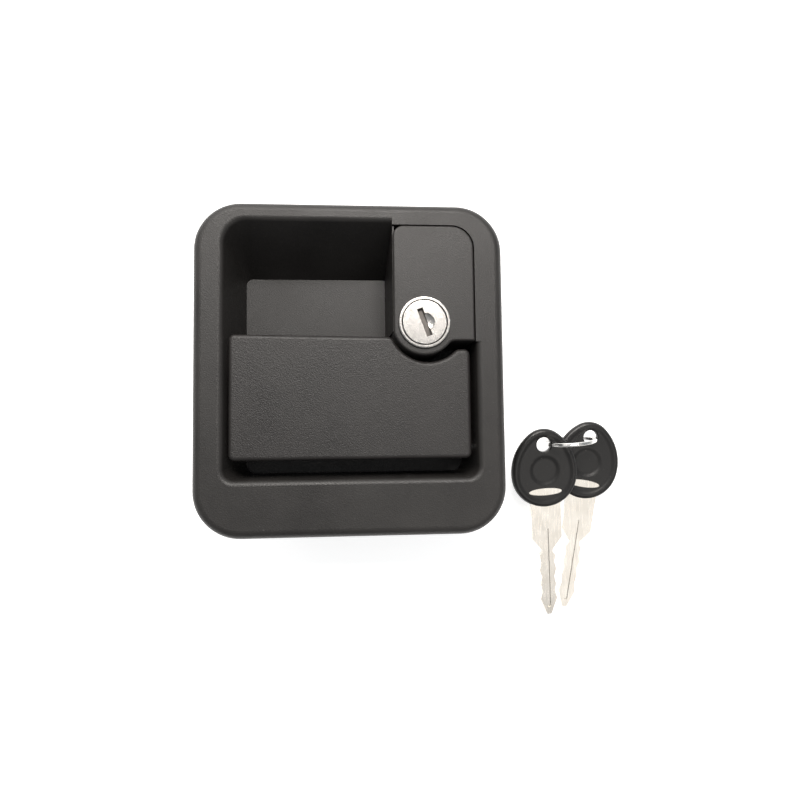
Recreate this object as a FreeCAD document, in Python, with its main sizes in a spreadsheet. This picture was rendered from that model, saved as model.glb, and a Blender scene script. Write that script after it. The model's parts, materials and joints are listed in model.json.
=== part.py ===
import FreeCAD, Part
import math
import os
import re
import Sketcher

# Flush caravan door lock lying on its back, with two keys on a split ring.
# +Z points out of the lock face, +Y is up on the door, X is to the right.
# The origin is the middle of the four studs on the door skin (rear of the gasket).

SIZES = {
    # face plate and gasket
    "plate_width": 112,
    "plate_height": 120.5,
    "plate_corner": 17,
    "plate_round": 3.2,
    "gasket_thick": 1.5,
    "face": 6,
    "stud_x": 48,
    "stud_y": 52.5,
    "stud_r": 2,
    "stud_length": 20,
    "stud_grip": 2.6,
    "stud_neck_r": 1.6,
    "stud_head_r": 2.6,
    # opening in the plate and moulded pan behind it
    "open_left": 45.5,
    "open_right": 46,
    "open_bottom": 39.8,
    "open_top": 54,
    "open_corner": 9,
    "open_low_corner": 4,
    "open_round": 2,
    "floor_top": -20,
    "floor_thick": 2.5,
    "floor_left": 40.6,
    "floor_right": 43.9,
    "floor_bottom": 38.4,
    "floor_upper": 38,
    "floor_corner": 2.5,
    "wall": 1.7,
    # housing of the lock barrel
    "house_left": 15.5,
    "house_right": 45.3,
    "house_bottom": 9.7,
    "house_top": 52.3,
    "house_small_corner": 4,
    "house_corner": 8.3,
    "house_wall": 2,
    "house_skin": 2.6,
    "house_draft": 1.5,
    "seam": 0.2,
    # lock barrel, plug and cam
    "lock_x": 26.7,
    "lock_y": 16.4,
    "flange_r": 9.5,
    "flange_thick": 2,
    "flange_proud": 1,
    "barrel_r": 8.8,
    "boss_r": 11.9,
    "web_r": 3,
    "plug_head_r": 8.2,
    "plug_r": 6.4,
    "barrel_end": -20.6,
    "clip_top": -16,
    "clip_thick": 1.2,
    "clip_depth": 0.8,
    "keyway_long": 10.6,
    "keyway_wide": 2.2,
    "keyway_tilt": 19.5,
    "keyway_end": -13,
    "wafer_long": 11.8,
    "wafer_wide": 4.4,
    "wafer_thick": 1,
    "wafer_pitch": 2.4,
    "wafer_first": 1.2,
    "tail_side": 6,
    "cam_r": 9,
    "cam_pin_turn": 6.5,
    "cam_pin_r": 1.5,
    # levels of the mechanism behind the floor
    "level_gap": 0.2,
    "plate_a": 2,
    "plate_b": 1.6,
    "plate_c": 2,
    # paddle and its hinge
    "paddle_side": 43.7,
    "paddle_low": 33,
    "paddle_top": 12.5,
    "paddle_step": 7,
    "paddle_face": 4,
    "paddle_thick": 3.2,
    "paddle_round": 1.5,
    "notch_r": 13.9,
    "hinge_y": -29,
    "hinge_z": -7,
    "hinge_r": 1.5,
    "hinge_end": 48.6,
    "hinge_neck": 1.1,
    "hub_r": 4,
    "lug_out": 41.4,
    "lug_wide": 3,
    "tail_left": 14,
    "tail_right": 22,
    "tail_reach": 22,
    "tail_nose": 2.5,
    "tail_thick": 4.4,
    "running": 0.05,
    "spring_wire": 0.45,
    # chassis tray
    "tray_left": 1,
    "tray_right": 48.5,
    "tray_low": -36,
    "tray_high": 34.5,
    "tray_back": -35,
    "sheet_thick": 1.5,
    # transfer slide, clutch finger and crank
    "slide_push": 0.15,
    "slide_foot": 2.4,
    "slide_foot_end": -31,
    "slide_right": 36.5,
    "slide_top": -5,
    "slide_travel": 11.6,
    "wing_left": 4.5,
    "wing_right": 13.8,
    "wing_top": 14,
    "guide_x": 9,
    "guide_low": -7,
    "guide_high": 10.9,
    "rivet_r": 1.4,
    "rivet_head": 2.5,
    "finger_slot": 3.5,
    "finger_bar": 7,
    "finger_shift": 9.2,
    "foot_low": -16.8,
    "foot_high": -10,
    "foot_left": 21,
    "foot_right": 37.2,
    "finger_rivet": 23.5,
    "finger_rivet_r": 1.2,
    "crank_x": 40,
    "crank_y": -7.35,
    "crank_arm": 18,
    "crank_leg": 16.45,
    "crank_nose": 2,
    "crank_hub": 4.5,
    "post_r": 2,
    "post_end": -34.2,
    # latch bolt
    "bolt_low": -31,
    "bolt_high": -17,
    "bolt_front": -26.5,
    "bolt_back": -33.5,
    "bolt_start": 46,
    "bolt_tip": 60,
    "bolt_bevel": 6,
    "bolt_tail": 36,
    "bolt_slide": 0.25,
    # keys and ring
    "key_head_low_r": 13.7,
    "key_head_top_r": 9.5,
    "key_head_side_r": 20,
    "key_head_top": 6.5,
    "key_head_low": 26,
    "key_head_thick": 3.4,
    "key_wide": 12.4,
    "tang_wide": 14.6,
    "key_head_round": 1.1,
    "key_hole": 3,
    "key_tip": 71.5,
    "key_shoulder": 39,
    "key_neck": 45,
    "blade_wide": 7,
    "blade_thick": 2,
    "ring_mean": 10.4,
    "ring_wire": 0.55,
}

doc = FreeCAD.newDocument("caravan_lock")
sheet = doc.addObject("Spreadsheet::Sheet", "sizes")
for row, (alias, value) in enumerate(SIZES.items(), start=1):
    sheet.set("A%d" % row, alias)
    sheet.set("B%d" % row, str(value))
    sheet.setAlias("B%d" % row, alias)
doc.recompute()

WORD = re.compile(r"[a-z][a-z0-9_]*")
TURN = {
    "X": FreeCAD.Rotation(FreeCAD.Vector(0, 0, 1), FreeCAD.Vector(1, 0, 0)),
    "Y": FreeCAD.Rotation(FreeCAD.Vector(0, 0, 1), FreeCAD.Vector(0, 1, 0)),
    "Z": FreeCAD.Rotation(),
}
NODES = {}


def with_sheet(text):
    """Put the sheet's name in front of each of its words in an expression."""
    return WORD.sub(lambda word: "sizes." + word.group() if word.group() in SIZES else word.group(), str(text))


def bind(thing, prop, text):
    thing.setExpression(prop, with_sheet(text))


def value_of(text):
    """Number that an expression gives with the sizes of the sheet."""
    return float(sheet.evalExpression(with_sheet(text)))


def start(label):
    """New body for one node."""
    body = doc.addObject("PartDesign::Body", label)
    body.Label = label
    NODES[label] = body
    return body


def place(piece, x, y, z, axis="Z"):
    piece.Placement = FreeCAD.Placement(FreeCAD.Vector(), TURN[axis])
    bind(piece, "Placement.Base.x", x)
    bind(piece, "Placement.Base.y", y)
    bind(piece, "Placement.Base.z", z)


def box(body, x, y, z, cut=False):
    """Block between two limits along each axis."""
    piece = body.newObject("PartDesign::%sBox" % ("Subtractive" if cut else "Additive"), "Block")
    bind(piece, "Length", "(%s) - (%s)" % (x[1], x[0]))
    bind(piece, "Width", "(%s) - (%s)" % (y[1], y[0]))
    bind(piece, "Height", "(%s) - (%s)" % (z[1], z[0]))
    place(piece, x[0], y[0], z[0])
    return piece


def rod(body, axis, centre, span, radius, cut=False):
    """Cylinder along an axis; centre holds the two other coordinates in the order X, Y, Z."""
    piece = body.newObject("PartDesign::%sCylinder" % ("Subtractive" if cut else "Additive"), "Round")
    bind(piece, "Radius", radius)
    bind(piece, "Height", "(%s) - (%s)" % (span[1], span[0]))
    spot = list(centre)
    spot.insert("XYZ".index(axis), span[0])
    place(piece, *spot, axis=axis)
    return piece


def slot(body, x, y, z, radius, cut=True):
    """Round-ended slot through a plate; x and y are the limits of its centre line."""
    rod(body, "Z", (x[0], y[0]), z, radius, cut)
    rod(body, "Z", (x[1], y[1]), z, radius, cut)
    if x[0] == x[1]:
        box(body, ("%s - (%s)" % (x[0], radius), "%s + %s" % (x[0], radius)), y, z, cut)
    else:
        box(body, x, ("%s - (%s)" % (y[0], radius), "%s + %s" % (y[0], radius)), z, cut)


def outline(body, points, height, role="XY_Plane"):
    """Closed sketch of straight lines on an origin plane, moved along the plane's normal."""
    drawing = body.newObject("Sketcher::SketchObject", "Outline")
    plane = [item for item in body.Origin.OriginFeatures if item.Role == role][0]
    drawing.AttachmentSupport = [(plane, "")]
    drawing.MapMode = "FlatFace"
    bind(drawing, "AttachmentOffset.Base.z", height)
    spots = [FreeCAD.Vector(value_of(a), value_of(b), 0) for a, b in points]
    for first, second in zip(spots, spots[1:] + spots[:1]):
        drawing.addGeometry(Part.LineSegment(first, second), False)
    last = len(points) - 1
    for index in range(len(points)):
        drawing.addConstraint(Sketcher.Constraint("Coincident", index - 1 if index else last, 2, index, 1))
    for index, (a, b) in enumerate(points):
        for kind, text in (("DistanceX", a), ("DistanceY", b)):
            number = drawing.addConstraint(Sketcher.Constraint(kind, -1, 1, index, 1, value_of(text)))
            bind(drawing, "Constraints[%d]" % number, text)
    return drawing


def pad(body, drawing, length, cut=False):
    piece = body.newObject("PartDesign::%s" % ("Pocket" if cut else "Pad"), "Raise")
    piece.Profile = drawing
    bind(piece, "Length", length)
    if cut:
        piece.Reversed = True
    return piece


def loft(body, lower, upper, cut=False):
    piece = body.newObject("PartDesign::%sLoft" % ("Subtractive" if cut else "Additive"), "Blend")
    piece.Profile = lower
    piece.Sections = [upper]
    piece.Ruled = True
    return piece


def corners(x0, x1, y0, y1):
    return [(x0, y0), (x1, y0), (x1, y1), (x0, y1)]


def soften(body, radius, test, kind="Fillet"):
    """Round or bevel the edges of the body that pass the test."""
    doc.recompute()
    before = body.Tip
    names = ["Edge%d" % (index + 1) for index, edge in enumerate(before.Shape.Edges) if test(edge)]
    piece = body.newObject("PartDesign::" + kind, kind)
    piece.Base = (before, names)
    bind(piece, "Radius" if kind == "Fillet" else "Size", radius)
    return piece


def near(value, wanted, slack=0.02):
    return abs(value - value_of(wanted)) < slack


def upright(edge):
    """True for an edge that runs mainly along Z."""
    box_size = edge.BoundBox
    return box_size.ZLength > 0.5 and box_size.XLength + box_size.YLength < box_size.ZLength * 1.2


def flat_at(edge, height):
    box_size = edge.BoundBox
    return near(box_size.ZMin, height) and near(box_size.ZMax, height)


def frustum(low, low_height, high, high_height):
    """Solid with flat faces between two outlines that have the same number of corners."""
    bottom = [FreeCAD.Vector(value_of(a), value_of(b), value_of(low_height)) for a, b in low]
    top = [FreeCAD.Vector(value_of(a), value_of(b), value_of(high_height)) for a, b in high]
    return Part.makeLoft([Part.makePolygon(ring + ring[:1]) for ring in (bottom, top)], True, True)


def prism(points, low_height, high_height):
    """Upright solid over an outline."""
    ring = [FreeCAD.Vector(value_of(a), value_of(b), value_of(low_height)) for a, b in points]
    height = value_of(high_height) - value_of(low_height)
    return Part.Face(Part.makePolygon(ring + ring[:1])).extrude(FreeCAD.Vector(0, 0, height))


def bar(x, y, z, radius, axis="Z", length="1"):
    """Plain cylinder solid from a point along an axis."""
    spot = FreeCAD.Vector(value_of(x), value_of(y), value_of(z))
    way = TURN[axis].multVec(FreeCAD.Vector(0, 0, 1))
    return Part.makeCylinder(value_of(radius), value_of(length), spot, way)


def rounded(shape, radius, test, low_radius=None):
    """Round the edges that pass the test, with another radius at their lower ends where one is given."""
    edges = [edge for edge in shape.Edges if test(edge)]
    return shape.makeFillet(value_of(low_radius or radius), value_of(radius), edges)


# Face plate and pan are one moulding whose pan walls lean by different amounts.
bezel_node = doc.addObject("Part::Feature", "bezel")
bezel_node.Label = "bezel"
floor_under = "floor_top - floor_thick"
plate = prism(corners("-plate_width / 2", "plate_width / 2", "-plate_height / 2", "plate_height / 2"),
              "gasket_thick", "face")
plate = rounded(plate, "plate_corner", upright)
plate = rounded(plate, "plate_round", lambda edge: flat_at(edge, "face"))
pan = frustum(corners("-floor_left - wall", "floor_right + wall", "-floor_bottom - wall", "floor_upper + wall"),
              floor_under,
              corners("-open_left + 0.8 - wall", "open_right - 0.6 + wall", "-open_bottom - wall",
                      "open_top - 2.2 + wall"), "gasket_thick + 1")
pan = rounded(pan, "8", lambda edge: edge.BoundBox.ZLength > 20, "floor_corner + wall")
house_shell = prism(corners("house_left - seam - wall", "house_right + seam + 1.6",
                            "house_bottom - seam - wall", "house_top + seam + 1.6"),
                    floor_under, "gasket_thick + 1")
house_shell = rounded(house_shell, "house_corner + 2.6",
                      lambda edge: upright(edge) and edge.BoundBox.XMin > 40 and edge.BoundBox.YMin > 40)
house_hole = prism(corners("house_left - seam", "house_right + seam", "house_bottom - seam", "house_top + seam"),
                   "floor_top", "face + 1")
house_hole = rounded(house_hole, "house_corner + seam",
                     lambda edge: upright(edge) and edge.BoundBox.XMin > 40 and edge.BoundBox.YMin > 40)
cavity = frustum([("-floor_left", "-floor_bottom"), ("floor_right", "-floor_bottom"),
                  ("floor_right", "house_bottom - seam"), ("house_left - seam", "house_bottom - seam"),
                  ("house_left - seam", "floor_upper"), ("-floor_left", "floor_upper")], "floor_top",
                 [("-open_left", "-open_bottom"), ("open_right", "-open_bottom"),
                  ("open_right", "house_bottom - seam"), ("house_left - seam", "house_bottom - seam"),
                  ("house_left - seam", "open_top"), ("-open_left", "open_top")], "face")
cavity = rounded(cavity, "open_corner", lambda edge: edge.BoundBox.ZLength > 20 and edge.BoundBox.XMax < -30
                 and edge.BoundBox.YMin > 30, "floor_corner")
cavity = rounded(cavity, "open_low_corner", lambda edge: edge.BoundBox.ZLength > 20 and edge.BoundBox.YMax < -30)
bosses = [bar("-hinge_end + 1.2", "hinge_y", "hinge_z", "hub_r", "X", "hinge_end - 44"),
          bar("open_right - 0.2", "hinge_y", "hinge_z", "hub_r", "X", "hinge_end - open_right - 1")]
moulding = plate.fuse([pan, house_shell] + bosses).cut(cavity)
moulding = rounded(moulding, "open_round", lambda edge: flat_at(edge, "face")
                   and edge.BoundBox.XMin > -46.5 and edge.BoundBox.XMax < 46.5
                   and edge.BoundBox.YMax < 54.5 and edge.BoundBox.YMin > -40.5
                   and not (edge.CenterOfMass.x > 15.2 and edge.CenterOfMass.y > 9.4))
moulding = moulding.cut(house_hole)
SCREWS = [("6", "-31"), ("41", "-31"), ("40.5", "28.5"), ("21", "29.8")]
moulding = moulding.fuse([bar(x, y, "floor_top - 0.5", "2.8", length="5.5") for x, y in SCREWS])
holes = [bar(x, y, floor_under + " - 1", "1.25", length="7") for x, y in SCREWS]
holes.append(bar("lock_x", "lock_y", floor_under + " - 1", "barrel_r + 0.3", length="floor_thick + 2"))
holes.append(prism(corners("tail_left - 1", "tail_right + 1", "-32", "-15"), floor_under + " - 1", "floor_top + 1"))
holes.append(bar("-hinge_end - 2", "hinge_y", "hinge_z", "hinge_r", "X", "2 * hinge_end + 4"))
for x in ("-stud_x", "stud_x"):
    for y in ("-stud_y", "stud_y"):
        holes.append(bar(x, y, "gasket_thick - 1", "stud_head_r", length="stud_grip + 1"))
bezel_node.Shape = moulding.cut(holes).removeSplitter()
NODES["bezel"] = bezel_node


# Gasket between plate and door skin.
gasket = start("gasket")
rim = "1.2"
pad(gasket, outline(gasket, corners("-plate_width / 2 + " + rim, "plate_width / 2 - " + rim,
                                    "-plate_height / 2 + " + rim, "plate_height / 2 - " + rim), "0"), "gasket_thick")
soften(gasket, "plate_corner - " + rim, upright)
pad(gasket, outline(gasket, corners("-stud_x - 0.1", "stud_x + 0.1", "-open_bottom - wall - 0.8",
                                    "house_top + seam + 2.4"), "-1"), "gasket_thick + 2", cut=True)
soften(gasket, "11", lambda edge: upright(edge) and abs(edge.BoundBox.XMin) < 50 and edge.BoundBox.YMin > 0)
soften(gasket, "5", lambda edge: upright(edge) and abs(edge.BoundBox.XMin) < 50
       and -50 < edge.BoundBox.YMin < 0)
for x in ("-stud_x", "stud_x"):
    for y in ("-stud_y", "stud_y"):
        rod(gasket, "Z", (x, y), ("-1", "gasket_thick + 1"), "stud_r + 0.05", cut=True)

# Each stud has a neck in the gasket and a wider head moulded into the plate.
studs = start("mounting_studs")
for x in ("-stud_x", "stud_x"):
    for y in ("-stud_y", "stud_y"):
        rod(studs, "Z", (x, y), ("-stud_length", "0"), "stud_r")
        rod(studs, "Z", (x, y), ("0", "gasket_thick"), "stud_neck_r")
        rod(studs, "Z", (x, y), ("gasket_thick", "gasket_thick + stud_grip"), "stud_head_r")
soften(studs, "0.5", lambda edge: flat_at(edge, "-stud_length"), "Chamfer")

# Housing of the lock barrel, flush with the plate and hollow behind.
housing = start("barrel_housing")
house_outline = [("house_left", "paddle_top + 0.7"), ("lock_x", "house_bottom"), ("house_right", "house_bottom"),
                 ("house_right", "house_top"), ("house_left", "house_top")]
pad(housing, outline(housing, house_outline, "floor_top"), "face - floor_top")
soften(housing, "house_corner", lambda edge: upright(edge) and edge.BoundBox.XMin > 40 and edge.BoundBox.YMin > 40)
soften(housing, "house_small_corner",
       lambda edge: upright(edge) and edge.BoundBox.XMax < 20 and edge.BoundBox.YMin > 40)
rod(housing, "Z", ("lock_x", "lock_y"), ("floor_top", "face"), "boss_r")
soften(housing, "web_r", lambda edge: upright(edge) and 25 < edge.BoundBox.XMin < 45
       and near(edge.BoundBox.YMin, "house_bottom"))
box(housing, ("house_left - 4", "house_left"), ("lock_y - 8", "lock_y + 8"), ("floor_top - 1", "face + 1"), cut=True)
wedge_low = outline(housing, corners("house_left - house_draft", "house_left + 0.5", "paddle_top + 0.8",
                                     "floor_upper - 0.4"), "floor_top")
wedge_high = outline(housing, corners("house_left - 0.12", "house_left + 0.5", "paddle_top + 0.8",
                                      "open_top - 1.8"), "face - 1")
loft(housing, wedge_low, wedge_high)
soften(housing, "0.8", lambda edge: flat_at(edge, "face") and edge.Length > 1)
box(housing, ("house_left + house_wall", "house_right - house_wall"),
    ("lock_y + barrel_r + 3.4", "house_top - house_wall - 3"), ("floor_top - 1", "face - house_skin"), cut=True)
box(housing, ("lock_x + boss_r + 0.6", "house_right - house_wall"),
    ("house_bottom + house_wall", "lock_y + barrel_r + 4"), ("floor_top - 1", "face - house_skin"), cut=True)
rod(housing, "Z", ("lock_x", "lock_y"), ("floor_top - 1", "face + 1"), "barrel_r + running", cut=True)
box(housing, ("lock_x - barrel_r - 0.5", "lock_x + barrel_r + 0.5"), ("lock_y - 9", "lock_y + barrel_r + 1.4"),
    ("floor_top - 1", "clip_top"), cut=True)
rod(housing, "Z", ("lock_x", "lock_y"), ("face - flange_thick + flange_proud", "face + 1"),
    "flange_r + running", cut=True)
for x, y in (SCREWS[2], SCREWS[3]):
    rod(housing, "Z", (x, y), ("floor_top - 1", "floor_top + 6"), "3.1", cut=True)

# Paddle with hinge lugs, ribs and the tail that works the slide.
paddle = start("paddle")
paddle_back = "paddle_face - paddle_thick"
pad(paddle, outline(paddle, [("-paddle_side", "-paddle_low"), ("paddle_side", "-paddle_low"),
                             ("paddle_side", "paddle_step"), ("lock_x + 9", "paddle_step"),
                             ("lock_x - 8", "paddle_top - 1"), ("-paddle_side", "paddle_top")], paddle_back),
    "paddle_thick")
rod(paddle, "Z", ("lock_x + 1.6", "lock_y - 0.2"), (paddle_back + " - 1", "paddle_face + 1"), "notch_r", cut=True)
soften(paddle, "2.2", lambda edge: upright(edge) and abs(edge.BoundBox.XMin) > 43)
soften(paddle, "3", lambda edge: upright(edge) and 13 < edge.BoundBox.XMin < 40)
soften(paddle, "paddle_round", lambda edge: flat_at(edge, "paddle_face"))
for x in ("-lug_out", "lug_out - lug_wide", "tail_left", "-14"):
    wide = "tail_right - tail_left" if x == "tail_left" else "lug_wide"
    rod(paddle, "X", ("hinge_y", "hinge_z"), (x, x + " + " + wide), "hub_r")
    box(paddle, (x, x + " + " + wide), ("hinge_y - hub_r", "hinge_y + hub_r"), ("hinge_z", paddle_back + " + 0.5"))
for x in ("-30", "-2", "28"):
    box(paddle, (x, x + " + 1.6"), ("hinge_y + 4", "-2"), (paddle_back + " - 2", paddle_back + " + 0.5"))
box(paddle, ("-40", "38"), ("hinge_y + 8", "hinge_y + 9.6"), (paddle_back + " - 2", paddle_back + " + 0.5"))
box(paddle, ("tail_left", "tail_right"), ("hinge_y - tail_thick / 2", "hinge_y + tail_thick / 2"),
    ("hinge_z - tail_reach", "hinge_z"))
rod(paddle, "X", ("hinge_y", "hinge_z - tail_reach"), ("tail_left", "tail_right"), "tail_nose")
rod(paddle, "X", ("hinge_y", "hinge_z"), ("-lug_out - 2", "lug_out + 2"), "hinge_r + running", cut=True)

pin = start("hinge_pin")
rod(pin, "X", ("hinge_y", "hinge_z"), ("-hinge_end + 0.4", "hinge_end - 0.4"), "hinge_r")
rod(pin, "X", ("hinge_y", "hinge_z"), ("-hinge_end - 0.6", "hinge_end + 0.6"), "hinge_neck")
for x0, x1 in (("-hinge_end - 1.2", "-hinge_end - 0.4"), ("hinge_end + 0.4", "hinge_end + 1.2")):
    rod(pin, "X", ("hinge_y", "hinge_z"), (x0, x1), "hinge_r")
clips = start("hinge_clips")
for x in ("-hinge_end - 0.4", "hinge_end - 0.4"):
    rod(clips, "X", ("hinge_y", "hinge_z"), (x, x + " + 0.8"), "hinge_r + 1.6")
    rod(clips, "X", ("hinge_y", "hinge_z"), (x + " - 1", x + " + 1.8"), "hinge_neck", cut=True)
    box(clips, (x + " - 1", x + " + 1.8"), ("hinge_y - 0.9", "hinge_y + 0.9"), ("hinge_z - 4", "hinge_z"), cut=True)

# Lock barrel with its plug, wafers, dust shutter, clip and cam.
barrel = start("lock_barrel")
rod(barrel, "Z", ("lock_x", "lock_y"), ("barrel_end", "face - 0.5"), "barrel_r")
rod(barrel, "Z", ("lock_x", "lock_y"), ("face - flange_thick + flange_proud", "face + flange_proud"), "flange_r")
soften(barrel, "0.5", lambda edge: flat_at(edge, "face + flange_proud"))
rod(barrel, "Z", ("lock_x", "lock_y"), ("barrel_end - 1", "face + 2"), "plug_r + running", cut=True)
for x in ("lock_x - barrel_r - 1", "lock_x + barrel_r - clip_depth"):
    box(barrel, (x, x + " + 1 + clip_depth"), ("lock_y - 8", "lock_y + 8"), ("clip_top - clip_thick", "clip_top"), cut=True)
rod(barrel, "Z", ("lock_x", "lock_y"), ("face - 1.4", "face + 2"), "plug_head_r + running", cut=True)

plug = start("lock_plug")
rod(plug, "Z", ("lock_x", "lock_y"), ("barrel_end", "face - 1"), "plug_r")
rod(plug, "Z", ("lock_x", "lock_y"), ("face - 1.4 + running", "face + flange_proud - 0.1"), "plug_head_r")
soften(plug, "0.4", lambda edge: flat_at(edge, "face + flange_proud - 0.1"))
level_a = "floor_top - floor_thick - sheet_thick - level_gap"
level_b = level_a + " - plate_a - level_gap"
level_c = level_b + " - plate_b - level_gap - 0.1"
box(plug, ("lock_x - tail_side / 2", "lock_x + tail_side / 2"), ("lock_y - tail_side / 2", "lock_y + tail_side / 2"),
    (level_a + " - plate_a", "barrel_end + 1"))


def keyed_block(body, wide, long, z, cut=True):
    """Block centred on the plug and turned to the keyway's tilt."""
    piece = body.newObject("PartDesign::%sBox" % ("Subtractive" if cut else "Additive"), "Keyed")
    piece.Placement = FreeCAD.Placement(FreeCAD.Vector(), FreeCAD.Rotation(value_of("keyway_tilt"), 0, 0))
    bind(piece, "Length", wide)
    bind(piece, "Width", long)
    bind(piece, "Height", "(%s) - (%s)" % (z[1], z[0]))
    bind(piece, "Placement.Base.x", "lock_x - (%s) / 2 * cos(keyway_tilt * 1 deg) + (%s) / 2 * sin(keyway_tilt * 1 deg)"
         % (wide, long))
    bind(piece, "Placement.Base.y", "lock_y - (%s) / 2 * sin(keyway_tilt * 1 deg) - (%s) / 2 * cos(keyway_tilt * 1 deg)"
         % (wide, long))
    bind(piece, "Placement.Base.z", z[0])
    return piece


keyed_block(plug, "keyway_wide", "keyway_long", ("keyway_end", "face + 2"))
wafers = start("wafers")
for index in range(5):
    top = "face - 1.8 - wafer_first - %d * wafer_pitch" % index
    reach = (top + " - wafer_thick", top)
    keyed_block(plug, "wafer_wide + 2 * running", "2 * plug_r + 1", reach)
    keyed_block(wafers, "wafer_wide", "wafer_long", (reach[0] + " + running", reach[1] + " - running"), cut=False)
for index in range(5):
    top = "face - 1.8 - wafer_first - %d * wafer_pitch" % index
    keyed_block(wafers, "keyway_wide + 0.2", "blade_wide + 0.4", (top + " - wafer_thick - 0.1", top + " + 0.1"))
shutter = start("keyway_shutter")
keyed_block(shutter, "keyway_wide - 0.1", "keyway_long - 0.2", ("face - 1.4", "face - 0.9"), cut=False)

clip = start("barrel_clip")
clip_z = ("clip_top - clip_thick + running", "clip_top - running")
box(clip, ("lock_x - barrel_r - 0.3", "lock_x + barrel_r + 0.3"), ("lock_y - 7", "lock_y + barrel_r + 1.1"), clip_z)
box(clip, ("lock_x - barrel_r + clip_depth - running", "lock_x + barrel_r - clip_depth + running"),
    ("lock_y - 8", "lock_y + barrel_r + running"), ("clip_top - clip_thick", "clip_top"), cut=True)

cam = start("cam")
cam_z = (level_a + " - plate_a", level_a)
rod(cam, "Z", ("lock_x", "lock_y"), cam_z, "cam_r")
box(cam, ("lock_x - tail_side / 2", "lock_x + tail_side / 2"), ("lock_y - tail_side / 2", "lock_y + tail_side / 2"),
    (level_a + " - plate_a - 1", level_a + " + 1"), cut=True)
rod(cam, "Z", ("lock_x + cam_pin_turn * 0.7071", "lock_y - cam_pin_turn * 0.7071"),
    (level_b + " - plate_b - 0.15", level_a + " - 0.5"), "cam_pin_r")

# Sheet-metal chassis behind the floor, open at the back.
chassis = start("chassis")
base_z = (floor_under + " - sheet_thick", floor_under)
box(chassis, ("tray_left", "tray_right"), ("tray_low", "tray_high"), base_z)
for x in ("tray_left", "tray_right - sheet_thick"):
    box(chassis, (x, x + " + sheet_thick"), ("tray_low", "tray_high"), ("tray_back", floor_under))
for y in ("tray_low", "tray_high - sheet_thick"):
    box(chassis, ("tray_left", "tray_right"), (y, y + " + sheet_thick"), ("tray_back", floor_under))
rod(chassis, "Z", ("lock_x", "lock_y"), (floor_under + " - 3", floor_under + " + 1"), "plug_r + 1", cut=True)
box(chassis, ("tail_left - 1", "tail_right + 1"), ("-32", "-15"), (floor_under + " - 3", floor_under + " + 1"), cut=True)
box(chassis, ("tray_right - 3", "tray_right + 1"), ("bolt_low - bolt_slide", "bolt_high + bolt_slide"),
    ("bolt_back - bolt_slide", "bolt_front + bolt_slide"), cut=True)
for x, y in SCREWS:
    rod(chassis, "Z", (x, y), (floor_under + " - 3", floor_under + " + 1"), "1.6", cut=True)
for x, y in (("guide_x", "guide_low"), ("guide_x", "guide_high")):
    rod(chassis, "Z", (x, y), (floor_under + " - 3", floor_under + " + 1"), "rivet_r", cut=True)
rod(chassis, "Z", ("crank_x", "crank_y"), (floor_under + " - 3", floor_under + " + 1"), "post_r", cut=True)

screws = start("chassis_screws")
for x, y in SCREWS:
    rod(screws, "Z", (x, y), (floor_under + " - sheet_thick - 1.4", floor_under + " - sheet_thick"), "2.6")
    rod(screws, "Z", (x, y), (floor_under + " - sheet_thick", "floor_top + 3.4"), "1.25")
    box(screws, (x + " - 2", x + " + 2"), (y + " - 0.3", y + " + 0.3"),
        (floor_under + " - sheet_thick - 2", floor_under + " - sheet_thick - 0.9"), cut=True)

# Torsion spring of the paddle, close-wound round the hinge pin, with a leg to the paddle and one to the floor.
spring = start("paddle_spring")
coil_in = "hinge_r + running + 0.3"
turn_pitch = "2.2 * spring_wire"
rod(spring, "X", ("hinge_y", "hinge_z"), ("-6", "-6 + 7 * %s" % turn_pitch), coil_in + " + 1.4 * spring_wire")
for index in range(7):
    first = "-6 + %d * %s" % (index, turn_pitch)
    rod(spring, "X", ("hinge_y", "hinge_z"), (first, first + " + 1.6 * spring_wire"), coil_in + " + 2 * spring_wire")
rod(spring, "Z", ("-6 + 0.7 * spring_wire", "hinge_y - hinge_r - running - 0.8"),
    ("floor_top + 0.3", "hinge_z"), "0.8 * spring_wire")
rod(spring, "Z", ("-6 + 6.5 * (%s)" % turn_pitch, "hinge_y + hinge_r + running + 0.8"),
    ("hinge_z", "paddle_face - paddle_thick - running"), "0.8 * spring_wire")
rod(spring, "X", ("hinge_y", "hinge_z"), ("-8", "6"), coil_in, cut=True)

# Slide that the paddle's tail pushes up; its wing runs on two rivets of the chassis.
slide = start("transfer_slide")
slide_low = "hinge_y + tail_nose + slide_push"
slide_z = (level_a + " - plate_a", level_a)
box(slide, ("wing_left", "slide_right"), (slide_low, "slide_top"), slide_z)
box(slide, ("wing_left", "wing_right"), (slide_low, "wing_top"), slide_z)
box(slide, ("tail_left - 1", "tail_right + 1"), (slide_low, slide_low + " + slide_foot"), ("slide_foot_end", level_a))
slot(slide, ("guide_x", "guide_x"), ("guide_low - slide_travel", "guide_high"),
     (level_a + " - plate_a - 1", level_a + " + 1"), "rivet_r + 0.1")
for x in ("finger_rivet", "finger_rivet + 2.8"):
    rod(slide, "Z", (x, "(foot_low + foot_high) / 2 - 0.6"), (level_a + " - plate_a - 1", level_a + " + 1"),
        "finger_rivet_r", cut=True)

rivets = start("guide_rivets")
for y in ("guide_low", "guide_high"):
    rod(rivets, "Z", ("guide_x", y), (level_a + " - plate_a - 0.1", floor_under), "rivet_r")
    rod(rivets, "Z", ("guide_x", y), (level_a + " - plate_a - 0.9", level_a + " - plate_a - 0.1"), "rivet_head")

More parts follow.
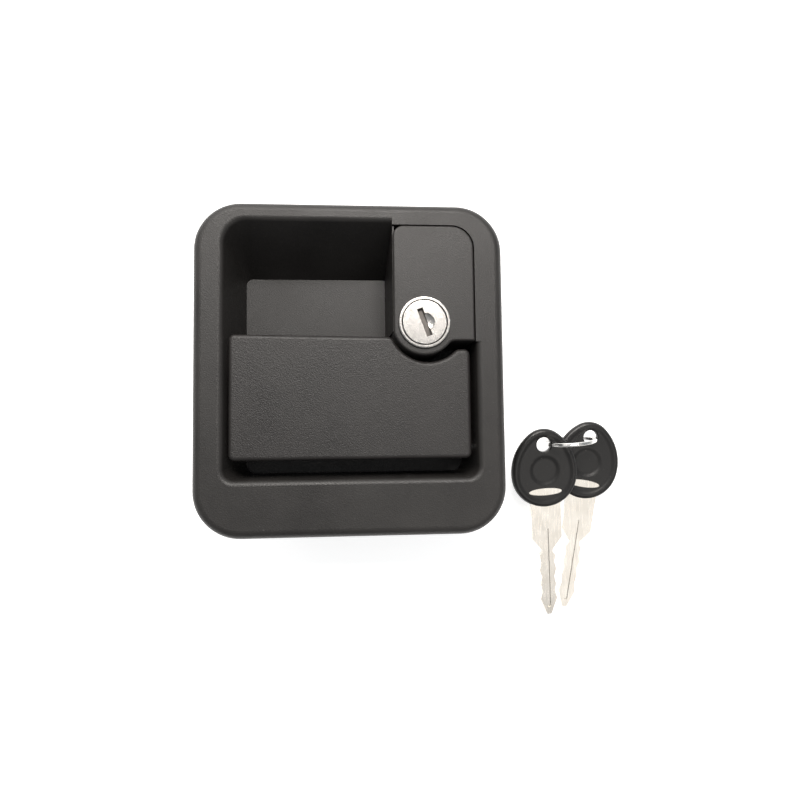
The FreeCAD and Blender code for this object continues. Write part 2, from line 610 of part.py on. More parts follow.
# Clutch finger between the slide and the crank, shifted sideways by the cam pin.
finger = start("clutch_finger")
finger_z = (level_b + " - plate_b", level_b)
pin_x = "lock_x + cam_pin_turn * 0.7071"
box(finger, (pin_x + " - finger_bar / 2", pin_x + " + finger_bar / 2"), ("foot_low", "lock_y - 1"), finger_z)
box(finger, ("foot_left", "foot_right"), ("foot_low", "foot_high"), finger_z)
box(finger, ("foot_left", "foot_left + 3.5"), ("foot_high - 1.6", "foot_high"),
    (level_c + " - plate_c - 0.2", level_b + " - 0.5"))
slot(finger, (pin_x, pin_x), ("-3.5 + finger_slot / 2", "13.9 - finger_slot / 2"),
     (level_b + " - 3", level_b + " + 1"), "finger_slot / 2")
slot(finger, ("finger_rivet", "finger_rivet + 2.8 + finger_shift"),
     ("(foot_low + foot_high) / 2 - 0.6", "(foot_low + foot_high) / 2 - 0.6"),
     (level_b + " - 3", level_b + " + 1"), "finger_rivet_r + 0.1")
finger_rivets = start("finger_rivets")
for x in ("finger_rivet", "finger_rivet + 2.8"):
    rod(finger_rivets, "Z", (x, "(foot_low + foot_high) / 2 - 0.6"), (level_b + " - plate_b - 0.1", level_a),
        "finger_rivet_r")
    rod(finger_rivets, "Z", (x, "(foot_low + foot_high) / 2 - 0.6"),
        (level_b + " - plate_b - 0.7", level_b + " - plate_b - 0.1"), "finger_rivet_r + 0.15")

# Crank on its post; its leg draws the bolt back.
crank = start("crank")
crank_z = (level_c + " - plate_c", level_c)
rod(crank, "Z", ("crank_x", "crank_y"), crank_z, "crank_hub")
rod(crank, "Z", ("crank_x - crank_arm", "crank_y"), crank_z, "crank_nose")
box(crank, ("crank_x - crank_arm", "crank_x"), ("crank_y - crank_nose", "crank_y + crank_nose"), crank_z)
box(crank, ("crank_x - 2.4", "crank_x + 2.4"), ("crank_y - crank_leg", "crank_y"), crank_z)
rod(crank, "Z", ("crank_x", "crank_y - crank_leg"), crank_z, "crank_nose + 1.3")
rod(crank, "Z", ("crank_x", "crank_y - crank_leg"), (level_c + " - 0.5", level_b + " + 0.1"), "crank_nose")
rod(crank, "Z", ("crank_x", "crank_y"), (level_c + " - 4", level_c + " + 1"), "post_r + running", cut=True)
post = start("crank_pivot")
rod(post, "Z", ("crank_x", "crank_y"), ("post_end", floor_under), "post_r")
rod(post, "Z", ("crank_x", "crank_y"), ("post_end - 0.6", "post_end + 0.2"), "post_r + 2")

# Latch bolt with its bevelled nose and the slotted tail plate.
bolt = start("latch_bolt")
pad(bolt, outline(bolt, [("bolt_start", "bolt_back"), ("bolt_tip - bolt_bevel", "bolt_back"),
                         ("bolt_tip", "bolt_back + 3.4"), ("bolt_tip", "bolt_front"),
                         ("bolt_start", "bolt_front")], "-bolt_high", "XZ_Plane"), "bolt_high - bolt_low")
box(bolt, ("bolt_tail", "bolt_start + 1"), ("bolt_low", "bolt_high"), finger_z)
slot(bolt, ("crank_x", "crank_x"), ("crank_y - crank_leg", "crank_y - crank_leg + 3.9"),
     (level_b + " - 3", level_b + " + 1"), "crank_nose + 0.4")
keeper = start("bolt_keeper")
box(keeper, ("36", "tray_right - sheet_thick"), ("bolt_low - 2", "bolt_high + 2"), ("bolt_back - 1.4", "bolt_back - 0.2"))

# Two keys on a split ring; each key is drawn with its hole at the origin and its tip along -Y.
def egg():
    """Face of the key head: two round ends joined by two flatter sides."""
    low_r, top_r, side_r = [value_of(name) for name in ("key_head_low_r", "key_head_top_r", "key_head_side_r")]
    low = FreeCAD.Vector(0, low_r - value_of("key_head_low"), 0)
    top = FreeCAD.Vector(0, value_of("key_head_top") - top_r, 0)
    apart = top.y - low.y
    rise = ((side_r - low_r) ** 2 - (side_r - top_r) ** 2 + apart ** 2) / (2 * apart)
    off = math.sqrt((side_r - low_r) ** 2 - rise ** 2)
    spots = {}
    for side in (-1, 1):
        centre = FreeCAD.Vector(-side * off, low.y + rise, 0)
        spots[side] = (low + (low - centre).normalize() * low_r, centre + FreeCAD.Vector(side * side_r, 0, 0),
                       top + (top - centre).normalize() * top_r)
    arcs = [Part.Arc(*spots[side]).toShape() for side in (-1, 1)]
    arcs.append(Part.Arc(spots[-1][0], low - FreeCAD.Vector(0, low_r, 0), spots[1][0]).toShape())
    arcs.append(Part.Arc(spots[-1][2], top + FreeCAD.Vector(0, top_r, 0), spots[1][2]).toShape())
    return Part.Face(Part.Wire(Part.__sortEdges__(arcs)))


def slab(wide, low, high):
    """Room for the flat tang of a key blade."""
    return prism(corners("-(%s) / 2" % wide, "(%s) / 2" % wide, low, high), "-blade_thick / 2", "blade_thick / 2")


def make_key(name, spot, pitch, yaw):
    seat = FreeCAD.Placement(FreeCAD.Vector(*spot), FreeCAD.Rotation(yaw, 0, pitch))
    blade = start(name + "_blade")
    half = "blade_wide / 2"
    points = [("-tang_wide / 2", "-key_head_low + 8.6"), ("-tang_wide / 2", "-key_head_low + 4.4"),
              ("-key_wide / 2", "-key_head_low + 4.4"), ("-key_wide / 2", "-key_shoulder"), ("-2.2", "-key_neck + 1"), ("-2.2", "-key_neck")]
    for index, dip in enumerate((0.2, 0.7, 0, 0.9, 0.3, 0.8, 0)):
        points.append(("-(%s) + %s" % (half, dip), "-key_neck - 1.2 - %s" % (index * 3.1)))
    points.append(("-0.9", "-key_tip"))
    mirror = [("-(%s)" % a, b) for a, b in reversed(points)]
    pad(blade, outline(blade, points + mirror, "-blade_thick / 2"), "blade_thick")
    soften(blade, "0.9", lambda edge: upright(edge) and edge.BoundBox.YMax < -42 and edge.BoundBox.YMin > -66)
    for z in (("blade_thick / 2 - 0.5", "blade_thick"), ("-blade_thick", "-blade_thick / 2 + 0.5")):
        box(blade, ("-0.7", "0.7"), ("-key_tip + 3", "-key_shoulder + 4"), z, cut=True)
    blade.Placement = seat

    head = doc.addObject("Part::Feature", name + "_head")
    head.Label = name + "_head"
    thick = value_of("key_head_thick")
    shape = egg()
    shape.translate(FreeCAD.Vector(0, 0, -thick / 2))
    shape = shape.extrude(FreeCAD.Vector(0, 0, thick))
    shape = shape.makeFillet(value_of("key_head_round"), [edge for edge in shape.Edges if edge.BoundBox.ZLength < 0.1])
    lens = Part.Face(Part.Wire(Part.Ellipse(FreeCAD.Vector(0, value_of("-key_head_low + 6.5"), 0), 6.9, 1.5).toShape()))
    tools = [Part.makeCylinder(value_of("key_hole"), 2 * thick, FreeCAD.Vector(0, 0, -thick)),
             lens.extrude(FreeCAD.Vector(0, 0, thick)).translated(FreeCAD.Vector(0, 0, 0.3)),
             slab("key_wide", "-key_head_low - 4", "-key_head_low + 4.6"),
             slab("tang_wide", "-key_head_low + 4.4", "-key_head_low + 8.6")]
    for side in (-1, 1):
        tools.append(Part.makeCone(value_of("key_hole"), value_of("key_hole + 1"), 1,
                                   FreeCAD.Vector(0, 0, side * (thick / 2 - 0.6)), FreeCAD.Vector(0, 0, side)))
        tools.append(Part.makeCylinder(6.6, 1, FreeCAD.Vector(0, -10.6, side * (thick / 2 - 0.5)),
                                       FreeCAD.Vector(0, 0, side)))
    head.Shape = shape.cut(tools)
    head.Placement = seat
    NODES[name + "_head"] = head


make_key("key_front", (78.2, -28.6, -22.6), 9.1, 3.3)
make_key("key_rear", (100.0, -25.9, -28.2), 4.57, -9.2)

split_ring = doc.addObject("Part::Feature", "split_ring")
split_ring.Label = "split_ring"
wire = value_of("ring_wire")
mean = value_of("ring_mean")
coils = [Part.makeTorus(mean, wire, FreeCAD.Vector(0, 0, side * wire * 0.9)) for side in (-1, 1)]
gap = Part.makeBox(0.5, 2 * wire + 1, 2 * wire, FreeCAD.Vector(0, -mean - wire - 0.5, 0.1))
split_ring.Shape = coils[0].fuse(coils[1]).cut(gap)
lean = FreeCAD.Rotation(FreeCAD.Vector(0, 1, 0), 5.18)
lean = lean.multiply(FreeCAD.Rotation(FreeCAD.Vector(0, 0, 1), 5.46))
lean = lean.multiply(FreeCAD.Rotation(FreeCAD.Vector(1, 0, 0), 96.68))
split_ring.Placement = FreeCAD.Placement(FreeCAD.Vector(89.98, -27.51, -23.96), lean)
NODES["split_ring"] = split_ring

doc.recompute()
os.makedirs("parts", exist_ok=True)
for name, node in NODES.items():
    for item in [node] + list(getattr(node, "Group", [])):
        if "Invalid" in item.State or "Error" in item.State:
            raise RuntimeError("%s: %s is %s" % (name, item.Name, item.State))
    if node.Shape.isNull() or not node.Shape.isValid():
        raise RuntimeError("%s has no valid shape" % name)
    node.Shape.exportStep("parts/%s.step" % name)
    print(name, len(node.Shape.Solids), "solid(s), volume %.0f mm3" % node.Shape.Volume)
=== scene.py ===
import json
import math

import bmesh
import bpy
from mathutils import Matrix, Vector


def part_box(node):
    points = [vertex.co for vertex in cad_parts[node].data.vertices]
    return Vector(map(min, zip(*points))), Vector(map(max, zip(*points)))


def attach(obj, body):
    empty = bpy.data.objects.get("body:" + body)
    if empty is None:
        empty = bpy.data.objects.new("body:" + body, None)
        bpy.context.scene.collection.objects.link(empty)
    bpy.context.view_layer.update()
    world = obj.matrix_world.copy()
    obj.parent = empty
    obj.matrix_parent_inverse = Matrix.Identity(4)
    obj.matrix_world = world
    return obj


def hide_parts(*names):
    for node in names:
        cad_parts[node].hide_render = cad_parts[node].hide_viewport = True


# Caravan door lock with two keys, seen from above as in a studio photograph.

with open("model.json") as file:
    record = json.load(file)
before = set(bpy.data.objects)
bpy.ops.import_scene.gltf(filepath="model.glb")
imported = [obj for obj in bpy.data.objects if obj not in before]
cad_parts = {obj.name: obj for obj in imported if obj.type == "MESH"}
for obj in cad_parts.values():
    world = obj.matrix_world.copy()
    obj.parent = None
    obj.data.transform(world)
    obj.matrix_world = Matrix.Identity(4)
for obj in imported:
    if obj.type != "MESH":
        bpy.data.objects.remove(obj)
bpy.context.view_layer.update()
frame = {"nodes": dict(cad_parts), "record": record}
scene = bpy.context.scene
MM = 0.001
NOISE_ROUGHNESS = 0.55
# Places of the factor, the two colours and the result on a colour mixer.
COLOUR_SOCKETS = (0, 6, 7)
COLOUR_RESULT = 2
DUST = (0.2, 0.195, 0.185)
# Painted shade colour for the narrow gap around the lock plug.
SEAM_SHADE = (0.025, 0.02, 0.018)


def link_nodes(tree, *pairs):
    """Link each output to its input."""
    for source, target in pairs:
        tree.links.new(source, target)


def new_material(name):
    """Material with an empty principled shader."""
    made = bpy.data.materials.new(name)
    made.use_nodes = True
    shader = made.node_tree.nodes["Principled BSDF"]
    return made, made.node_tree, shader


def texture_space(tree):
    """Coordinates that stay with the piece when it moves."""
    return tree.nodes.new("ShaderNodeTexCoord").outputs["Object"]


def noise(tree, scale, detail):
    """Cloudy value between 0 and 1."""
    made = tree.nodes.new("ShaderNodeTexNoise")
    made.inputs["Scale"].default_value = scale
    made.inputs["Detail"].default_value = detail
    made.inputs["Roughness"].default_value = NOISE_ROUGHNESS
    tree.links.new(texture_space(tree), made.inputs["Vector"])
    return made.outputs["Fac"]


def spread(tree, value, low, high, start=0.3, end=0.7):
    """Stretch the range from start to end of a value to the range from low to high."""
    made = tree.nodes.new("ShaderNodeMapRange")
    made.inputs["From Min"].default_value = start
    made.inputs["From Max"].default_value = end
    made.inputs["To Min"].default_value = low
    made.inputs["To Max"].default_value = high
    tree.links.new(value, made.inputs["Value"])
    return made.outputs["Result"]


def colour_mixer(tree, value, colour):
    """Lays a colour over another by a 0..1 value; gives that other's input and the result."""
    made = tree.nodes.new("ShaderNodeMix")
    made.data_type = "RGBA"
    factor, below, above = (made.inputs[index] for index in COLOUR_SOCKETS)
    above.default_value = colour + (1,)
    tree.links.new(value, factor)
    return below, made.outputs[COLOUR_RESULT]


def mixed(tree, value, dark, light):
    """Colour between dark and light by a 0..1 value."""
    below, result = colour_mixer(tree, value, light)
    below.default_value = dark + (1,)
    return result


def laid_over(tree, value, plain, colour):
    """A colour laid over an output by a 0..1 value."""
    below, result = colour_mixer(tree, value, colour)
    tree.links.new(plain, below)
    return result


def added(tree, first, second):
    """Sum of two values."""
    made = tree.nodes.new("ShaderNodeMath")
    made.operation = "ADD"
    link_nodes(tree, (first, made.inputs[0]), (second, made.inputs[1]))
    return made.outputs["Value"]


def bumped(tree, shader, value, strength, distance):
    """Raise the surface a little by a value."""
    made = tree.nodes.new("ShaderNodeBump")
    made.inputs["Strength"].default_value = strength
    made.inputs["Distance"].default_value = distance
    link_nodes(tree, (value, made.inputs["Height"]),
               (made.outputs["Normal"], shader.inputs["Normal"]))


def grained_plastic(name, dark, light, rough=(0.38, 0.52), grain=0.3):
    """Moulded plastic: fine grain, rubbed patches that shine more, and a few dust specks."""
    made, tree, shader = new_material(name)
    fine = noise(tree, 2600, 2.0)
    rubbed = noise(tree, 45, 4.0)
    dust = spread(tree, noise(tree, 1500, 1.0), 0, 0.35, 0.74, 0.82)
    plain = mixed(tree, spread(tree, rubbed, 0, 1), dark, light)
    shine = spread(tree, added(tree, fine, rubbed), *rough, 0.7, 1.3)
    link_nodes(tree, (laid_over(tree, dust, plain, DUST), shader.inputs["Base Color"]),
               (shine, shader.inputs["Roughness"]))
    bumped(tree, shader, fine, grain, 0.00025)
    return made


def polished_metal(name, dark, light, rough, grain=0.05):
    """Bright metal with cloudy tarnish and fine handling marks."""
    made, tree, shader = new_material(name)
    fine = noise(tree, 900, 3.0)
    tarnish = spread(tree, noise(tree, 120, 3.0), 0, 1)
    link_nodes(tree, (mixed(tree, tarnish, dark, light), shader.inputs["Base Color"]),
               (spread(tree, fine, *rough), shader.inputs["Roughness"]))
    shader.inputs["Metallic"].default_value = 1.0
    bumped(tree, shader, fine, grain, 0.0001)
    return made


def with_painted_seam_shade(made, centre, radius, width):
    """Painted shade: darken the thin ring-shaped gap between two turned pieces with a dark colour.
    """
    tree = made.node_tree
    shader = tree.nodes["Principled BSDF"]
    plain = shader.inputs["Base Color"].links[0].from_socket
    shift = tree.nodes.new("ShaderNodeMapping")
    shift.inputs["Location"].default_value = (-centre[0], -centre[1], 0)
    shift.inputs["Scale"].default_value = (1, 1, 0)
    away = tree.nodes.new("ShaderNodeVectorMath")
    away.operation = "LENGTH"
    off = tree.nodes.new("ShaderNodeMath")
    off.operation = "SUBTRACT"
    off.inputs[1].default_value = radius
    both = tree.nodes.new("ShaderNodeMath")
    both.operation = "ABSOLUTE"
    link_nodes(tree, (texture_space(tree), shift.inputs["Vector"]),
               (shift.outputs["Vector"], away.inputs[0]),
               (away.outputs["Value"], off.inputs[0]), (off.outputs["Value"], both.inputs[0]))
    # Painted shade: a dark ring laid along the gap between plug and cylinder.
    line = spread(tree, both.outputs["Value"], 1, 0, 0.3 * width, width)
    tree.links.new(laid_over(tree, line, plain, SEAM_SHADE), shader.inputs["Base Color"])
    return made


def plated_blade(name, turn):
    """Plated key blade with draw marks along its length, turned like the key."""
    made, tree, shader = new_material(name)
    lie = tree.nodes.new("ShaderNodeMapping")
    lie.inputs["Rotation"].default_value = (0, 0, -math.radians(turn))
    lie.inputs["Scale"].default_value = (1, 0.06, 1)
    marks = tree.nodes.new("ShaderNodeTexNoise")
    marks.inputs["Scale"].default_value = 1500
    marks.inputs["Detail"].default_value = 3
    link_nodes(tree, (texture_space(tree), lie.inputs["Vector"]),
               (lie.outputs["Vector"], marks.inputs["Vector"]))
    tarnish = spread(tree, noise(tree, 150, 2.0), 0, 1)
    plating = mixed(tree, tarnish, (0.84, 0.8, 0.73), (0.92, 0.885, 0.82))
    link_nodes(tree, (plating, shader.inputs["Base Color"]),
               (spread(tree, marks.outputs["Fac"], 0.24, 0.34), shader.inputs["Roughness"]))
    shader.inputs["Metallic"].default_value = 1.0
    bumped(tree, shader, marks.outputs["Fac"], 0.08, 0.0001)
    return made


LOCK_X, LOCK_Y = 26.7 * MM, 16.4 * MM
PLUG_RADIUS = 8.22 * MM
SEAM_WIDTH = 0.32 * MM

# Middle of each key's ring hole, its tilt and its turn in degrees.
KEYS = {
    "front": (Vector((78.2, -28.6, -22.6)) * MM, 9.1, 3.3),
    "rear": (Vector((100, -25.9, -28.2)) * MM, 4.57, -9.2),
}

# By material slot, or by node where a node has a finish of its own.
MATERIALS = {
    "dark_plastic": grained_plastic(
        "plate_grain", (0.0205, 0.0188, 0.0178), (0.029, 0.0268, 0.0252)),
    "paddle_plastic": grained_plastic(
        "paddle_grain", (0.0195, 0.0178, 0.0172), (0.028, 0.0255, 0.0245), (0.34, 0.5), 0.5),
    "gasket_rubber": grained_plastic(
        "gasket_foam", (0.012, 0.012, 0.012), (0.02, 0.02, 0.02), (0.8, 0.95)),
    "zinc_steel": polished_metal(
        "zinc_plate", (0.55, 0.55, 0.54), (0.68, 0.68, 0.67), (0.25, 0.45)),
    # Nickel lock face with painted shade along the plug's gap.
    "nickel": with_painted_seam_shade(
        polished_metal("nickel_plate", (0.66, 0.635, 0.605), (0.72, 0.69, 0.66), (0.22, 0.28), 0.02),
        (LOCK_X, LOCK_Y), PLUG_RADIUS, SEAM_WIDTH),
    "ring_wire": polished_metal(
        "ring_nickel", (0.8, 0.79, 0.77), (0.9, 0.89, 0.87), (0.1, 0.16), 0.02),
    "key_front_blade": plated_blade("key_nickel_front", KEYS["front"][2]),
    "key_rear_blade": plated_blade("key_nickel_rear", KEYS["rear"][2]),
    "brass_wafer": polished_metal(
        "wafer_brass", (0.6, 0.42, 0.16), (0.75, 0.56, 0.26), (0.25, 0.4)),
    "spring_steel": polished_metal(
        "spring_wire", (0.4, 0.4, 0.4), (0.55, 0.55, 0.55), (0.25, 0.4)),
    "shutter_black": polished_metal(
        "shutter", (0.08, 0.075, 0.07), (0.2, 0.18, 0.17), (0.3, 0.5)),
    "key_plastic": grained_plastic(
        "key_head", (0.011, 0.0105, 0.0102), (0.016, 0.0152, 0.0148), (0.26, 0.4), 0.12),
    "bolt_plastic": grained_plastic(
        "bolt_nylon", (0.02, 0.02, 0.02), (0.03, 0.03, 0.03)),
}
SLOT_OF = {part["node"]: part["material_slot"] for part in frame["record"]["subparts"]}

for node, thing in frame["nodes"].items():
    thing.data.materials.clear()
    thing.data.materials.append(MATERIALS[node if node in MATERIALS else SLOT_OF[node]])


# Lock: a thumb dimple on the right of the keyway.
KEYWAY_TILT = math.radians(19.5)
DIMPLE_RADIUS = 3.3 * MM
DIMPLE_DEPTH = 1.1 * MM
DIMPLE_OFF = 0.4 * MM


def cut_with(thing, name, mesh, body, seat=Matrix()):
    """Cut with a hidden shape that moves along with the body."""
    cutter = bpy.data.objects.new(name, mesh)
    scene.collection.objects.link(cutter)
    cutter.hide_render = True
    cutter.hide_viewport = True
    cutter.matrix_world = seat
    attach(cutter, body)
    change = thing.modifiers.new(name, "BOOLEAN")
    change.operation = "DIFFERENCE"
    change.solver = "EXACT"
    change.object = cutter


def finished_mesh(name, made):
    """Turn a bmesh into a mesh."""
    mesh = bpy.data.meshes.new(name)
    made.to_mesh(mesh)
    made.free()
    return mesh


def dimple_mesh(top):
    """Right half of a flattened ball whose middle lies on the face of the plug."""
    made = bmesh.new()
    bmesh.ops.create_uvsphere(made, u_segments=48, v_segments=24, radius=1)
    bmesh.ops.scale(made, vec=(DIMPLE_RADIUS, DIMPLE_RADIUS, DIMPLE_DEPTH), verts=made.verts)
    cut = bmesh.ops.bisect_plane(made, geom=made.verts[:] + made.edges[:] + made.faces[:],
                                 plane_co=(0, 0, 0), plane_no=(-1, 0, 0), clear_outer=True)
    rim = [item for item in cut["geom_cut"] if isinstance(item, bmesh.types.BMEdge)]
    bmesh.ops.holes_fill(made, edges=rim)
    made.transform(Matrix.Translation((LOCK_X + DIMPLE_OFF, LOCK_Y, top))
                   @ Matrix.Rotation(KEYWAY_TILT, 4, "Z"))
    return finished_mesh("dimple", made)


plug_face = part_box("lock_plug")[1][2]
cut_with(frame["nodes"]["lock_plug"], "dimple_cutter", dimple_mesh(plug_face), "plug_group")


# Split ring: two turns of polished wire through both key heads.
RING_CENTRE = Vector((89.98, -27.51, -23.96)) * MM
RING_LEAN = (Matrix.Rotation(math.radians(5.18), 4, "Y")
             @ Matrix.Rotation(math.radians(5.46), 4, "Z")
             @ Matrix.Rotation(math.radians(96.68), 4, "X"))
RING_MEAN = 10.4 * MM
RING_WIRE = 0.5 * MM
RING_TURNS = 2
RING_STEPS = 160


def add_split_ring():
    """Round wire whose second turn lies against its first."""
    data = bpy.data.curves.new("ring_wire", "CURVE")
    data.dimensions = "3D"
    data.bevel_depth = RING_WIRE
    data.bevel_resolution = 6
    line = data.splines.new("POLY")
    line.points.add(RING_STEPS)
    for index, point in enumerate(line.points):
        turn = RING_TURNS * 2 * math.pi * index / RING_STEPS
        rise = (2 * index / RING_STEPS - 1) * RING_WIRE
        place = RING_LEAN @ Vector((RING_MEAN * math.cos(turn), RING_MEAN * math.sin(turn), rise))
        point.co = (*(RING_CENTRE + place), 1)
    data.use_fill_caps = True
    ring = bpy.data.objects.new("split_ring_wire", data)
    scene.collection.objects.link(ring)
    data.materials.append(MATERIALS["ring_wire"])
    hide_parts("split_ring")
    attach(ring, "ring_group")


add_split_ring()


# Key heads: egg outline with a rolled rim, a thumb recess, the ring hole and a window on to the
# blade. In mm from the ring hole's middle, with the blade towards -Y.
HEAD_TOP, HEAD_LOW = 6.5, 26
HEAD_MIDDLE = (HEAD_TOP - HEAD_LOW) / 2
LOW_RADIUS, TOP_RADIUS, SIDE_RADIUS = 13.7, 9.5, 20
RIM_HEIGHT, FIELD_HEIGHT = 1.7, 1.25
RIM_WIDE = 1.6
FIELD_START = 2.3 * RIM_WIDE
RECESS_Y, RECESS_RADIUS, RECESS_DEPTH = -10.6, 6.7, 0.5
RECESS_FLAT = 0.66 * RECESS_RADIUS
HEAD_POINTS = 96
HEAD_INSETS = ([0, 0.04, 0.15, 0.35, 0.65, 1.05, 1.6, 2.1, 2.6, 3.1, 3.7]
               + [3.7 + 0.45 * step for step in range(1, 24)])
SMALLEST_RING = 0.02
HOLE_RADIUS, HOLE_POINTS = 3, 48
BEVEL_WIDE, BEVEL_DEEP = 0.5, 0.4
ABOVE_FACE, FAR_WIDE = 0.1, 2
WINDOW_Y, WINDOW_HALF, WINDOW_TALL = -19.5, 6.9, 1.5
WINDOW_FLARE = 1.15
TANG_TOP = 0.95
CUT_REACH = 3
CRISP_ANGLE = math.radians(38)


def smooth_step(value, low, high):
    """0 below low, 1 above high and a smooth rise between them."""
    part = min(max((value - low) / (high - low), 0), 1)
    return part * part * (3 - 2 * part)


def head_outline(turn):
    """Point in that direction of the egg outline, which is two round ends and two flatter sides."""
    low, top = LOW_RADIUS - HEAD_LOW, HEAD_TOP - TOP_RADIUS
    apart = top - low
    to_low, to_top = SIDE_RADIUS - LOW_RADIUS, SIDE_RADIUS - TOP_RADIUS
    rise = (to_low ** 2 - to_top ** 2 + apart ** 2) / (2 * apart)
    off = math.sqrt(to_low ** 2 - rise ** 2)
    way = (math.sin(turn), math.cos(turn))
    side = 1 if way[0] >= 0 else -1
    arcs = (((0, low), LOW_RADIUS), ((-side * off, low + rise), SIDE_RADIUS),
            ((0, top), TOP_RADIUS))
    spots = []
    for centre, radius in arcs:
        x, y = -centre[0], HEAD_MIDDLE - centre[1]
        along = x * way[0] + y * way[1]
        reach = -along + math.sqrt(max(along ** 2 - x * x - y * y + radius ** 2, 0))
        spots.append((reach * way[0], HEAD_MIDDLE + reach * way[1]))
    low_end, flank, top_end = spots
    if low_end[1] <= low - LOW_RADIUS * rise / to_low:
        return low_end
    if top_end[1] >= top + TOP_RADIUS * (apart - rise) / to_top:
        return top_end
    return flank


def head_height(inset, x, y):
    """Height of the upper face that far in from the edge."""
    if inset < RIM_WIDE:
        return RIM_HEIGHT * math.sqrt(1 - (1 - inset / RIM_WIDE) ** 2)
    level = RIM_HEIGHT + (FIELD_HEIGHT - RIM_HEIGHT) * smooth_step(inset, RIM_WIDE, FIELD_START)
    away = math.hypot(x, y - RECESS_Y)
    return level - RECESS_DEPTH * (1 - smooth_step(away, RECESS_FLAT, RECESS_RADIUS))


def head_ring(inset):
    """Points of the upper face that far in from the edge."""
    spots = []
    for step in range(HEAD_POINTS):
        x, y = head_outline(2 * math.pi * step / HEAD_POINTS)
        reach = math.hypot(x, y - HEAD_MIDDLE)
        shrink = max(1 - inset / reach, SMALLEST_RING)
        x, y = x * shrink, HEAD_MIDDLE + (y - HEAD_MIDDLE) * shrink
        spots.append((x, y, head_height(inset, x, y)))
    return spots


def head_mesh():
    """Closed shell made of rings that run inwards from the edge on both faces."""
    made = bmesh.new()
    rings = {1: [], -1: []}
    for inset in HEAD_INSETS:
        spots = head_ring(inset)
        for side in (1, -1):
            if inset == 0 and side == -1:
                rings[-1].append(rings[1][0])
                continue
            rings[side].append([made.verts.new((x * MM, y * MM, side * z * MM))
                                for x, y, z in spots])
    for side in (1, -1):
        for outer, inner in zip(rings[side], rings[side][1:]):
            for step in range(HEAD_POINTS):
                after = (step + 1) % HEAD_POINTS
                corner = (outer[step], outer[after], inner[after], inner[step])
                made.faces.new(corner if side == -1 else corner[::-1])
        made.faces.new(rings[side][-1] if side == -1 else rings[side][-1][::-1])
    bmesh.ops.recalc_face_normals(made, faces=made.faces)
    for face in made.faces:
        face.smooth = True
    return finished_mesh("key_grip", made)


def head_cutter_mesh():
    """Ring hole with a bevelled mouth on both faces, and the lens-shaped window above the tang."""
    made = bmesh.new()
    hole = [(-CUT_REACH, HOLE_RADIUS + FAR_WIDE),
            (-FIELD_HEIGHT - ABOVE_FACE, HOLE_RADIUS + BEVEL_WIDE),
            (-FIELD_HEIGHT + BEVEL_DEEP, HOLE_RADIUS),
            (FIELD_HEIGHT - BEVEL_DEEP, HOLE_RADIUS),
            (FIELD_HEIGHT + ABOVE_FACE, HOLE_RADIUS + BEVEL_WIDE),
            (CUT_REACH, HOLE_RADIUS + FAR_WIDE)]
    window = [(TANG_TOP, 1), (FIELD_HEIGHT, 1), (CUT_REACH, WINDOW_FLARE)]
    turns = [2 * math.pi * step / HOLE_POINTS for step in range(HOLE_POINTS)]
    openings = ((hole, 0, 1, 1), (window, WINDOW_Y, WINDOW_HALF, WINDOW_TALL))
    for stack, centre_y, wide, tall in openings:
        rings = []
        for z, radius in stack:
            spots = [(radius * wide * math.cos(turn), centre_y + radius * tall * math.sin(turn), z)
                     for turn in turns]
            rings.append([made.verts.new((x * MM, y * MM, z * MM)) for x, y, z in spots])
        for low, high in zip(rings, rings[1:]):
            for step in range(HOLE_POINTS):
                after = (step + 1) % HOLE_POINTS
                made.faces.new((low[step], low[after], high[after], high[step]))
        made.faces.new(rings[0][::-1])
        made.faces.new(rings[-1])
    bmesh.ops.recalc_face_normals(made, faces=made.faces)
    return finished_mesh("key_cutter", made)


def add_key_head(which):
    """Moulded head in the key's place and tilt, with its openings cut out."""
    spot, pitch, yaw = KEYS[which]
    seat = (Matrix.Translation(spot) @ Matrix.Rotation(math.radians(yaw), 4, "Z")
            @ Matrix.Rotation(math.radians(pitch), 4, "X"))
    head = bpy.data.objects.new("key_%s_grip" % which, head_mesh())
    scene.collection.objects.link(head)
    head.matrix_world = seat
    cut_with(head, "key_%s_cutter" % which, head_cutter_mesh(), "key_" + which, seat)
    crisp = head.modifiers.new("crisp", "EDGE_SPLIT")
    crisp.split_angle = CRISP_ANGLE
    head.data.materials.append(MATERIALS["key_plastic"])
    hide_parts("key_%s_head" % which)
    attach(head, "key_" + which)


for which in KEYS:
    add_key_head(which)


# Floor, camera and light. The camera's values come from a fit to the photograph.
FLOOR_SIZE, FLOOR_Z = 6, -0.0352
FLOOR_GLOW = (0.7, 0.7, 0.7, 1)
SENSOR_MM = 36
FOCAL_PX, PHOTO_PX = 662, 800
CAMERA_PLACE = Vector((-2.4, -26.4, 242.5)) * MM
CAMERA_LOOK = Vector((0.0833, 0.0615, -0.9946)).normalized()
CAMERA_UP = Vector((0.0074, 0.998, 0.0623))
LAMP_COLOUR = (1, 0.955, 0.91)
SKY_COLOUR = (0.95, 0.98, 1, 1)
SKY_DIM, SKY_BRIGHT = 0.22, 0.55
SKY_FROM, SKY_TO = -0.5, 0.6
CLOSEST = 0.01


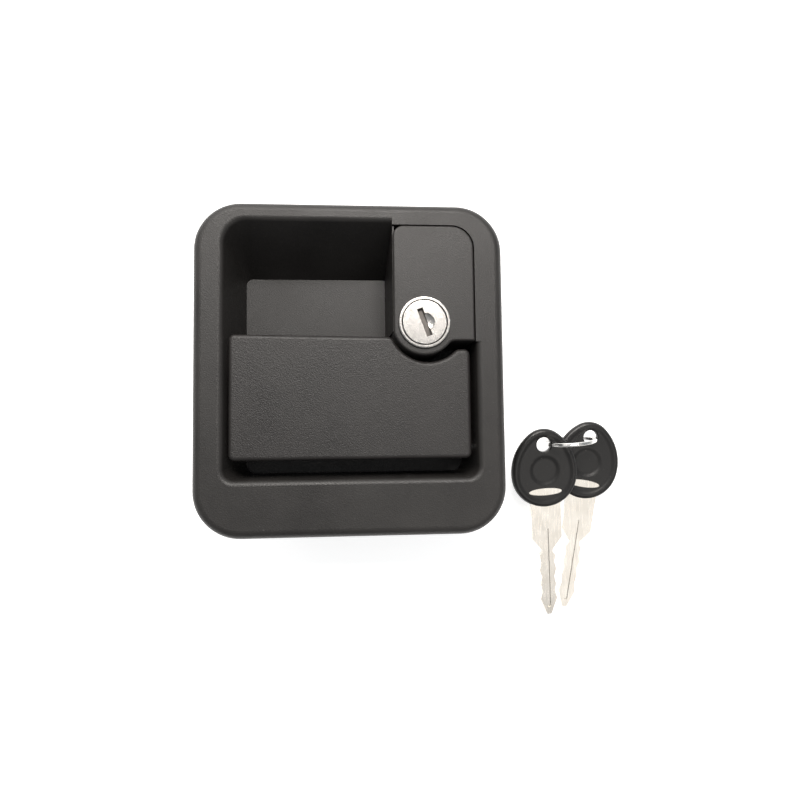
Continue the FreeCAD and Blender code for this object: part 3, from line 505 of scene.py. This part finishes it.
def add_floor():
    """Floor that is white to the camera and in reflections, and takes the shadow."""
    bpy.ops.mesh.primitive_plane_add(size=FLOOR_SIZE, location=(0, 0, FLOOR_Z))
    floor = bpy.context.object
    floor.name = "floor"
    made, tree, shader = new_material("white_floor")
    cloud = spread(tree, noise(tree, 3, 2.0), 0, 1)
    tint = mixed(tree, cloud, (0.93, 0.93, 0.93), (0.95, 0.95, 0.95))
    tree.links.new(tint, shader.inputs["Base Color"])
    shader.inputs["Roughness"].default_value = 0.9
    path = tree.nodes.new("ShaderNodeLightPath")
    seen = added(tree, path.outputs["Is Camera Ray"], path.outputs["Is Glossy Ray"])
    glow = added(tree, seen, path.outputs["Is Transmission Ray"])
    tree.links.new(glow, shader.inputs["Emission Strength"])
    shader.inputs["Emission Color"].default_value = FLOOR_GLOW
    floor.data.materials.append(made)


def add_camera():
    """Camera of the photograph."""
    data = bpy.data.cameras.new("camera")
    data.sensor_width = SENSOR_MM
    data.lens = SENSOR_MM * FOCAL_PX / PHOTO_PX
    data.clip_start = CLOSEST
    camera = bpy.data.objects.new("camera", data)
    scene.collection.objects.link(camera)
    right = CAMERA_LOOK.cross(CAMERA_UP).normalized()
    axes = Matrix((right, right.cross(CAMERA_LOOK), -CAMERA_LOOK)).transposed()
    camera.matrix_world = Matrix.Translation(CAMERA_PLACE) @ axes.to_4x4()
    scene.camera = camera


def add_lamp(name, place, aim, power, size):
    """Soft rectangular lamp that points at a spot."""
    data = bpy.data.lights.new(name, "AREA")
    data.energy = power
    data.color = LAMP_COLOUR
    data.shape = "RECTANGLE"
    data.size, data.size_y = size
    lamp = bpy.data.objects.new(name, data)
    scene.collection.objects.link(lamp)
    lamp.location = place
    lamp.rotation_euler = (Vector(aim) - Vector(place)).to_track_quat("-Z", "Y").to_euler()


def add_world():
    """White studio, darker towards the photographer's side."""
    world = bpy.data.worlds.new("studio")
    scene.world = world
    world.use_nodes = True
    tree = world.node_tree
    sky = tree.nodes["Background"]
    direction = tree.nodes.new("ShaderNodeTexCoord").outputs["Generated"]
    toward = tree.nodes.new("ShaderNodeSeparateXYZ")
    level = spread(tree, toward.outputs["Y"], SKY_DIM, SKY_BRIGHT, SKY_FROM, SKY_TO)
    link_nodes(tree, (direction, toward.inputs["Vector"]), (level, sky.inputs["Strength"]))
    sky.inputs["Color"].default_value = SKY_COLOUR


add_floor()
add_camera()
add_lamp("north_soft", (-0.35, 0.95, 0.75), (0, 0, 0), 7, (1.2, 0.7))
add_lamp("top_soft", (0.04, 0.62, 1.1), (0, 0, 0), 12, (0.62, 0.42))
add_lamp("key_soft", (0.263, -0.2525, 0.454), (0.09, -0.06, -0.03), 0.26, (0.28, 0.28))
add_world()
scene.view_settings.view_transform = "Standard"
